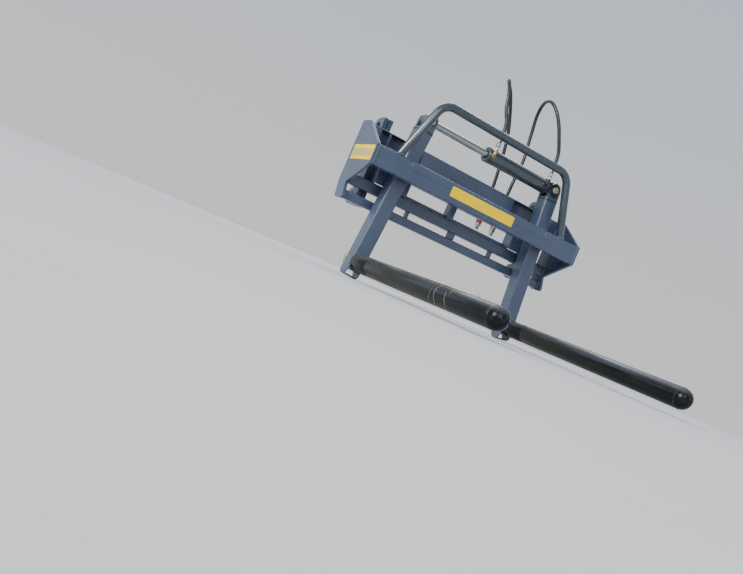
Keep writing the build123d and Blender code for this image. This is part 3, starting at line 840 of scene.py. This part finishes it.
gland_start = Vector((GLAND_PORT_X, FERRULE_Y, FERRULE_TOP))
base_start = Vector((BASE_PORT_X, FERRULE_Y, FERRULE_TOP))
gland_end = gland_start + Vector(GLAND_ROUTE[-1]) / 1000
base_end = base_start + Vector(BASE_ROUTE[-1]) / 1000
gland_line = hose("gland_line", gland_start, GLAND_ROUTE)
base_line = hose("base_line", base_start, BASE_ROUTE)
gland_tip = coupler("gland_quick_coupler", gland_end, "gland_coupler")
base_tip = coupler("base_quick_coupler", base_end, "base_coupler")


def band(name, end, low, high, radius, material):
    """A coloured ring round a coupler."""
    rows = [
        (low, 0.0150), (low, radius - 0.0005), (low + 0.0008, radius), (high - 0.0008, radius),
        (high, radius - 0.0005), (high, 0.0150),
    ]
    return ring_piece(name, end, DOWN, rows, 40, material, BARREL)


gland_band = band("gland_coupler_band", gland_end, 0.0375, 0.0550, 0.0168, red_plastic)
base_band = band("base_coupler_band", base_end, 0.0375, 0.0480, 0.0166, copper)

# Welds on the frame
PIVOT_WELD_RADIUS = 0.021
beam_sections = (
    ((beam_low.y, beam_low.z), (beam_high.y, beam_high.z), BEAM_CORNER),
    ((top_low.y, top_low.z), (top_high.y, top_high.z), RAIL_CORNER),
    ((rail_front, upper_low.z), (rail_back, rail_top), RAIL_CORNER),
    ((lower_low.y, lower_low.z), (lower_high.y, lower_high.z), RAIL_CORNER),
)
hoop_low, hoop_high = box_of("hoop_guard")
hoop_y = (hoop_low.y + hoop_high.y) / 2
form = bmesh.new()
for side, sign in SIDES:
    for low, high, corner in beam_sections:
        bead(form, loop_yz(sign * (beam_high.x - OFF_FACE), low, high, corner), closed=True)
    foot = sign * (cad_box[1][0] - HOOP_FOOT_FROM_END)
    ring = []
    for k in range(48):
        angle = 2 * math.pi * k / 48
        x, y = foot + (HOOP_RADIUS + 0.0015) * math.cos(angle), hoop_y + HOOP_RADIUS * math.sin(angle)
        ring.append((x, y, beam_top + 0.001))
    bead(form, ring, 0.004, True)
    box_low, box_high = box_of(f"{side}_pivot_box")
    for x in (box_low.x, box_high.x):
        bead(form, [(x, rail_front + 0.004, rail_top), (x, rail_back - 0.004, rail_top)])
        bead(form, [(x, top_low.y, top_low.z + 0.002), (x, top_low.y, box_high.z)])
    bead(form, [(box_low.x, top_low.y, box_high.z), (box_high.x, top_low.y, box_high.z)])
    bead(form, [(box_low.x + 0.002, rail_front, rail_top), (box_low.x + 0.012, rail_front, rail_top)])
    hook_low, hook_high = box_of(f"{side}_hook")
    for x in (hook_low.x, hook_low.x + HOOK_THICK, hook_high.x - HOOK_THICK, hook_high.x):
        for y, low, high in (
            (top_high.y, top_low.z, top_high.z), (rail_back, upper_low.z, rail_top),
            (rail_back, lower_low.z, lower_high.z),
        ):
            bead(form, [(x, y, low + RAIL_CORNER), (x, y, high - RAIL_CORNER)])
    pivot_centre = (sign * PIVOT_X, beam_front + OFF_FACE, PIVOT_Z)
    bead(form, arc(pivot_centre, RIGHT, UP, PIVOT_WELD_RADIUS, 0, 350, 60), 0.0022, True)
up_low, up_high = box_of("centre_upright")
foot_loop = loop_xy(up_low.z + OFF_FACE, (up_low.x, up_low.y), (up_high.x, rail_back), RAIL_CORNER)
bead(form, foot_loop, closed=True)
for x in (up_low.x, up_high.x):
    bead(form, [(x, top_low.y, up_high.z), (x, up_high.y, up_high.z)])
bead(form, [(up_low.x, top_low.y, up_high.z), (up_high.x, top_low.y, up_high.z)])
link_low, link_high = box_of("rail_links")
link_front = rail_front + 0.0165
for z in (link_low.z, link_high.z):
    bead(form, [(-MIDDLE_LINK_HALF, link_front, z), (MIDDLE_LINK_HALF, link_front, z)])
    for side, sign in SIDES:
        for x in (sign * WEB_X - WEB_HALF, sign * WEB_X + WEB_HALF):
            bead(form, [(x, rail_front + 0.009, z), (x, rail_back - 0.009, z)], SMALL_BEAD)
finish_mesh("frame_welds", form, weld_paint, "frame")

# Details of the arms and rollers
# How far below the cap's top the painted shadow line runs
CAP_SHADOW_DROP = 0.011
EAR_WELD_HALF = 0.034
FOOT_WELD_HALF = 0.012
ROOT_WELD_RADIUS = 0.0450
DOME_WELD_RADIUS = 0.0438
# Each nipple's hexagon: across its flats, height
NIPPLE_HEX = (0.009, 0.0042)
EAR_NIPPLE_HEX = (0.008, 0.0035)
COLLAR_ROWS = (
    (0.0020, 0.0146), (0.0020, 0.0166), (0.0026, 0.0172), (0.0050, 0.0172), (0.0056, 0.0166),
    (0.0056, 0.0146),
)
WASHER_ROWS = (
    (-0.0002, 0.0152), (-0.0002, 0.0232), (0.0004, 0.0238), (0.0018, 0.0238), (0.0024, 0.0232),
    (0.0024, 0.0152),
)
NIPPLE_ROWS = (
    (0.004, 0.0034), (0.0075, 0.0034), (0.0085, 0.0022), (0.0100, 0.0022), (0.0108, 0.0031),
    (0.0122, 0.0031), (0.0134, 0.0020), (0.0136, 0.0008),
)
EAR_NIPPLE_ROWS = (
    (0.0033, 0.0030), (0.0060, 0.0030), (0.0068, 0.0020), (0.0080, 0.0020), (0.0086, 0.0027),
    (0.0096, 0.0027), (0.0104, 0.0016), (0.0105, 0.0006),
)
ROLLER_SEAL_ROWS = (
    (0.0, 0.0300), (0.0, 0.0412), (0.0010, 0.0422), (0.0044, 0.0422), (0.0052, 0.0412), (0.0052, 0.0300),
)
for side, sign in SIDES:
    arm = arm_frame(sign)
    across, up = arm[1:]
    body = f"{side}_arm"
    form = bmesh.new()
    for y, out in ARM_FACES:
        centre = on_arm(arm, 0, y + out * OFF_FACE, 0)
        for start, end in ((42, 138), (222, 318)):
            bead(form, arc(centre, across, up, BOSS_RADIUS + OFF_FACE, start, end), SMALL_BEAD)
    centre = on_arm(arm, 0, arm_front - OFF_FACE, -ARM_LENGTH)
    for start, end in ((50, 130), (230, 310)):
        bead(form, arc(centre, across, up, ROOT_WELD_RADIUS, start, end))
    cap_top = TOWER_LENGTH - CAP_DROP
    for y in (arm_front, arm_front + EAR_THICK, arm_back - EAR_THICK, arm_back):
        bead(form, [on_arm(arm, a, y, cap_top) for a in (-EAR_WELD_HALF, EAR_WELD_HALF)], SMALL_BEAD)
    foot_z = ARM_LENGTH + FOOT_DROP + ARM_HALF - FOOT_BAR
    edge = ARM_HALF + OFF_FACE
    for a in (-edge, edge):
        ends = (ARM_Y - FOOT_WELD_HALF, ARM_Y + FOOT_WELD_HALF)
        bead(form, [on_arm(arm, a, y, -foot_z + 0.001) for y in ends], 0.0026)
    finish_mesh(f"{side}_arm_welds", form, weld_paint, body)

    # A near-black bead round the arm at the joint under the ear block: a painted shadow of the block's lower
    # edge
    flat_half = ARM_HALF - ARM_CORNER
    ring = []
    for a, y, start in ((1, 1, 0), (-1, 1, 90), (-1, -1, 180), (1, -1, 270)):
        centre = on_arm(arm, a * flat_half, ARM_Y + y * flat_half, cap_top - CAP_SHADOW_DROP)
        ring += arc(centre, across, BACK, ARM_CORNER - 0.0004, start, start + 90, 5)
    form = bmesh.new()
    bead(form, ring, SMALL_BEAD, True)
    finish_mesh(f"{side}_cap_shadow_line", form, seal_rubber, body)

    tower = on_arm(arm, 0, 0, TOWER_LENGTH)
    for name, rows, material in (
        ("clevis_collars", COLLAR_ROWS, zinc), ("clevis_washers", WASHER_ROWS, black_steel),
    ):
        form = bmesh.new()
        for y, out in ARM_FACES:
            turned(form, (tower.x, y, tower.z), (0, out, 0), rows, 48, hollow=True)
        finish_mesh(f"{side}_{name}", form, material, body)

    form = bmesh.new()
    nose = on_arm(arm, sign * (ARM_HALF - 0.0006), ARM_Y, 0)
    nut(form, nose, across * sign, *NIPPLE_HEX)
    turned(form, nose, across * sign, NIPPLE_ROWS, 20)
    for y, out in ARM_FACES:
        top = Vector((tower.x, y - out * EAR_THICK / 2, tower.z)) + up * (EAR_RADIUS - 0.0004)
        nut(form, top, up, *EAR_NIPPLE_HEX)
        turned(form, top, up, EAR_NIPPLE_ROWS, 20)
    finish_mesh(f"{side}_grease_nipples", form, zinc, body)

    nut_low, nut_high = box_of(f"{side}_spindle_nut")
    centre = Vector(((nut_low.x + nut_high.x) / 2, nut_low.y, (nut_low.z + nut_high.z) / 2))
    form = bmesh.new()
    nut(form, centre, BACK, NUT_ACROSS, nut_high.y - nut_low.y, SPINDLE_RADIUS, 72)
    piece = finish_mesh(f"{side}_hex_nut", form, dull_zinc, body)
    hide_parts(f"{side}_spindle_nut")

    roller_low, roller_high = box_of(f"{side}_roller")
    axis_x = (roller_low.x + roller_high.x) / 2
    axis_z = (roller_low.z + roller_high.z) / 2
    dome = (axis_x, roller_low.y + ROLLER_RADIUS, axis_z)
    form = bmesh.new()
    bead(form, arc(dome, RIGHT, UP, DOME_WELD_RADIUS, 0, 356, 90), 0.0019, True)
    finish_mesh(f"{side}_dome_weld", form, tine_paint, f"{side}_roller")
    seal_place = (axis_x, roller_high.y - 0.0008, axis_z)
    ring_piece(
        f"{side}_roller_seal", seal_place, BACK, ROLLER_SEAL_ROWS, 56, seal_rubber, body,
    )

# Straw left on the left roller
# Each blade: y where it starts, y where it ends, angle from and to round the roller in degrees
WRAPPED_BLADES = (
    (-0.352, -0.366, 96, 150), (-0.362, -0.371, 150, 232), (-0.372, -0.352, 62, 118),
    (-0.440, -0.452, 158, 240), (-0.447, -0.466, 104, 160), (-0.478, -0.452, 70, 128),
    (-0.500, -0.474, 96, 140), (-0.335, -0.330, 168, 214),
)
# Each loose blade: y and angle of its foot, then how far its tip lies along y, across and up
LOOSE_BLADES = (
    (-0.560, 92, -0.034, 0.012, 0.026), (-0.574, 84, 0.022, -0.020, 0.019),
    (-0.590, 98, -0.020, -0.014, 0.012), (-0.548, 101, 0.030, 0.006, 0.010),
    (-0.582, 90, -0.042, 0.020, 0.008),
)
BLADE_RADIUS = 0.0007
low, high = box_of("left_roller")
axis_x, axis_z = (low.x + high.x) / 2, (low.z + high.z) / 2
round_radius = (high.z - low.z) / 2 + 0.0004
form = bmesh.new()
for y_from, y_to, turn_from, turn_to in WRAPPED_BLADES:
    points = []
    for k in range(19):
        share = k / 18
        turn = math.radians(turn_from + (turn_to - turn_from) * share)
        reach = round_radius + 0.0025 * (2 * share - 1) ** 6
        sway = 0.002 * math.sin(5 * share + turn_from)
        y = y_from + (y_to - y_from) * share + sway
        points.append(Vector((axis_x + reach * math.cos(turn), y, axis_z + reach * math.sin(turn))))
    sweep(form, points, BLADE_RADIUS, 6)
for y, turn, along, across_tip, rise in LOOSE_BLADES:
    turn = math.radians(turn)
    foot = Vector((axis_x + round_radius * math.cos(turn), y, axis_z + round_radius * math.sin(turn)))
    tip = foot + Vector((across_tip, along, rise))
    lift = foot + Vector((across_tip * 0.3, along * 0.5, rise * 0.9))
    points = [foot.lerp(lift, k / 12).lerp(lift.lerp(tip, k / 12), k / 12) for k in range(13)]
    sweep(form, points, BLADE_RADIUS, 6, False, [1.0 - 0.05 * k for k in range(13)])
finish_mesh("left_roller_straw", form, straw_material, "left_roller", 60.0)

# Details of the cylinder
EYE_HALF = 0.025
EYE_WELD_HALF = 0.0285
ROD_EYE_JOINT = 0.0335
EYE_CAP_ROWS = (
    (0.0036, 0.0040), (0.0036, 0.0056), (0.0042, 0.0060), (0.0090, 0.0060), (0.0104, 0.0050),
    (0.0110, 0.0030),
)
WIPER_ROWS = (
    (-0.0010, 0.0182), (-0.0010, 0.0262), (0.0008, 0.0262), (0.0022, 0.0225), (0.0030, 0.0190),
    (0.0024, 0.0182),
)
GLAND_RING_ROWS = ((-0.0012, 0.0370), (-0.0012, 0.0396), (0.0012, 0.0396), (0.0012, 0.0370))
form = bmesh.new()
cap_centre = (BARREL_END_X - 0.006, ARM_Y, TOWER_Z)
bead(form, arc(cap_centre, BACK, UP, BARREL_RADIUS - OFF_FACE, 0, 356, 90), 0.0024, True)
for z in (-EYE_RADIUS, EYE_RADIUS):
    half = math.sqrt(BARREL_RADIUS ** 2 - z ** 2)
    bead(form, [(BARREL_END_X, ARM_Y + y, TOWER_Z + z) for y in (-half, half)], 0.0028)
for y in (-EYE_HALF, EYE_HALF):
    ends = (-EYE_WELD_HALF, EYE_WELD_HALF)
    bead(form, [(BARREL_END_X, ARM_Y + y, TOWER_Z + z) for z in ends], 0.0028)
port_centre = (BASE_PORT_X, ARM_Y - BARREL_RADIUS - OFF_FACE, TOWER_Z)
bead(form, arc(port_centre, RIGHT, UP, PORT_RADIUS, 0, 350, 40), 0.0018, True)
finish_mesh("barrel_welds", form, barrel_paint, BARREL)

eye_top = Vector((TOWER_X - 0.003, ARM_Y, TOWER_Z + EYE_RADIUS - 0.0006))
form = bmesh.new()
nut(form, eye_top, UP, *NIPPLE_HEX)
finish_mesh("eye_nipple", form, zinc, BARREL)
form = bmesh.new()
turned(form, eye_top, UP, EYE_CAP_ROWS, 28)
finish_mesh("eye_nipple_cap", form, red_plastic, BARREL)

ring_piece(
    "gland_wiper", (gland_low.x, ARM_Y, TOWER_Z), LEFT, WIPER_ROWS, 56, seal_rubber,
    BARREL,
)
ring_piece(
    "gland_ring", (gland_high.x - 0.0203, ARM_Y, TOWER_Z), RIGHT, GLAND_RING_ROWS, 64, seal_rubber,
    BARREL,
)
form = bmesh.new()
eye_joint = (-TOWER_X + ROD_EYE_JOINT, ARM_Y, TOWER_Z)
bead(form, arc(eye_joint, BACK, UP, ROD_RADIUS + 0.0002, 0, 356, 60), 0.0026, True)
finish_mesh("rod_weld", form, weld_paint, "cylinder_rod")


# Blank plates and the scratch
def plate(name, corners, normal, thick, material, radius=0.006):
    """A thin plate with rounded corners, from four corners on a face of the frame."""
    corners = [Vector(c) for c in corners]
    normal = Vector(normal)
    form = bmesh.new()
    outline = []
    count = len(corners)
    for index, corner in enumerate(corners):
        to_last = (corners[index - 1] - corner).normalized()
        to_next = (corners[(index + 1) % count] - corner).normalized()
        start, end = corner + to_last * radius, corner + to_next * radius
        for k in range(7):
            t = k / 6
            outline.append(start.lerp(corner, t).lerp(corner.lerp(end, t), t))
    low = [form.verts.new(p - normal * 0.0002) for p in outline]
    rim = [form.verts.new(p + normal * thick * 0.7) for p in outline]
    middle = sum(outline, Vector()) / len(outline)
    top = [form.verts.new(p + (middle - p).normalized() * 0.0005 + normal * thick) for p in outline]
    for a, b in ((low, rim), (rim, top)):
        for k in range(len(outline)):
            after = (k + 1) % len(outline)
            form.faces.new((a[k], a[after], b[after], b[k]))
    form.faces.new(top)
    form.faces.new(list(reversed(low)))
    finish_mesh(name, form, material, "frame", 25.0)


BLANK_X = (-0.205, 0.195)
BLANK_ABOVE_BEAM_LOW = (0.031, 0.083)
END_BLANK_BEHIND_FRONT = (0.010, 0.250)
END_BLANK_ABOVE_BEAM_LOW = (0.013, 0.087)
SCRATCH = ((0.4205, 0.594), (0.4225, 0.594), (0.4330, 0.619), (0.4310, 0.619))
END_X = cad_box[0][0]
x0, x1 = BLANK_X
z0, z1 = (beam_low.z + rise for rise in BLANK_ABOVE_BEAM_LOW)
blank = [(x, beam_front, z) for x, z in ((x0, z0), (x1, z0), (x1, z1), (x0, z1))]
plate("front_blank_plate", blank, FRONT, 0.0010, yellow_vinyl)
scratch = [(x, beam_front, z) for x, z in SCRATCH]
plate("beam_scratch", scratch, FRONT, 0.0004, bright_steel, radius=0.0006)
# The end blank's pale middle plate is a painted glare highlight on the yellow vinyl
for name, edge, rise, thick, material in (
    ("left_end_blank", 0.0, 0.0, 0.0010, yellow_vinyl),
    ("left_end_blank_glare", 0.008, 0.018, 0.0016, glare_vinyl),
):
    z0, z1 = (beam_low.z + z for z in END_BLANK_ABOVE_BEAM_LOW)
    y0, y1 = (beam_front + y for y in END_BLANK_BEHIND_FRONT)
    y0, y1, z0, z1 = y0 + edge, y1 - edge, z0 + rise, z1 - rise
    blank = [(END_X, y, z) for y, z in ((y0, z0), (y1, z0), (y1, z1), (y0, z1))]
    plate(name, blank, LEFT, thick, material)

# Bushes of the lock bores
BUSH_ROWS = ((-0.0004, 0.0186), (-0.0004, 0.0250), (0.0022, 0.0250), (0.0030, 0.0240), (0.0030, 0.0186))
lock_y, lock_z = top_high.y + LOCK_BEHIND, end_low.z + LOCK_ABOVE_END
form = bmesh.new()
for side, sign in SIDES:
    hook_low, hook_high = box_of(f"{side}_hook")
    for x, out in ((hook_low.x, -1), (hook_high.x, 1)):
        turned(form, (x, lock_y, lock_z), (out, 0, 0), BUSH_ROWS, 48, hollow=True)
finish_mesh("lock_bushes", form, weld_paint, "frame")

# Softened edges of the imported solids
EDGE = 0.0012
for thing in nodes.values():
    if thing.hide_render:
        continue
    weld = thing.modifiers.new("joined", "WELD")
    weld.merge_threshold = 0.00001
    soft = thing.modifiers.new("soft_edges", "BEVEL")
    soft.width = EDGE
    soft.segments = 2
    soft.limit_method = "ANGLE"
    soft.angle_limit = math.radians(40)

# Floor, light and world
FLOOR_REACH = 60.0
floor_material, tree, shader = new_material("floor")
drift = span(tree, noise(tree, 3.0, 4.0), 0.3, 0.7)
colour = mix(tree, drift, (0.61, 0.61, 0.605), (0.58, 0.58, 0.575))
tree.links.new(colour, shader.inputs["Base Color"])
shader.inputs["Roughness"].default_value = 0.8
form = bmesh.new()
bmesh.ops.create_circle(form, cap_ends=True, segments=128, radius=FLOOR_REACH)
mesh = bpy.data.meshes.new("floor")
form.to_mesh(mesh)
form.free()
floor = bpy.data.objects.new("floor", mesh)
mesh.materials.append(floor_material)
scene.collection.objects.link(floor)

HORIZON = (0.92, 0.92, 0.92)
ZENITH = (0.68, 0.77, 0.94)
world = bpy.data.worlds.new("studio")
scene.world = world
world.use_nodes = True
tree = world.node_tree
background = tree.nodes["Background"]
height = split(tree, add(tree, "ShaderNodeTexCoord").outputs["Generated"])[2]
tree.links.new(mix(tree, span(tree, height, 0.0, 0.6), HORIZON, ZENITH), background.inputs[0])
background.inputs[1].default_value = 0.86

AIM = (0, 0, 0.5)


def aimed(spot):
    """The turn of a lamp at a spot that shines at the part's middle."""
    return (Vector(AIM) - Vector(spot)).to_track_quat("-Z", "Y").to_euler()


def lamp(name, spot, size, power, colour):
    """A soft rectangular lamp."""
    data = bpy.data.lights.new(name, "AREA")
    data.shape = "RECTANGLE"
    data.size, data.size_y = size
    data.energy = power
    data.color = colour
    thing = bpy.data.objects.new(name, data)
    thing.location = spot
    thing.rotation_euler = aimed(spot)
    scene.collection.objects.link(thing)


lamp("fill", (-2.6, -6.2, 3.8), (4.0, 3.0), 185, (0.95, 0.975, 1.0))
lamp("rim", (1.6, 4.6, 3.8), (3.4, 1.8), 90, (1.0, 1.0, 1.0))
key_data = bpy.data.lights.new("key", "SUN")
key_data.energy = 4.6
key_data.angle = 0.55
key_data.color = (1.0, 0.975, 0.94)
key = bpy.data.objects.new("key", key_data)
key.rotation_euler = aimed((-4.6, -1.2, 2.6))
scene.collection.objects.link(key)
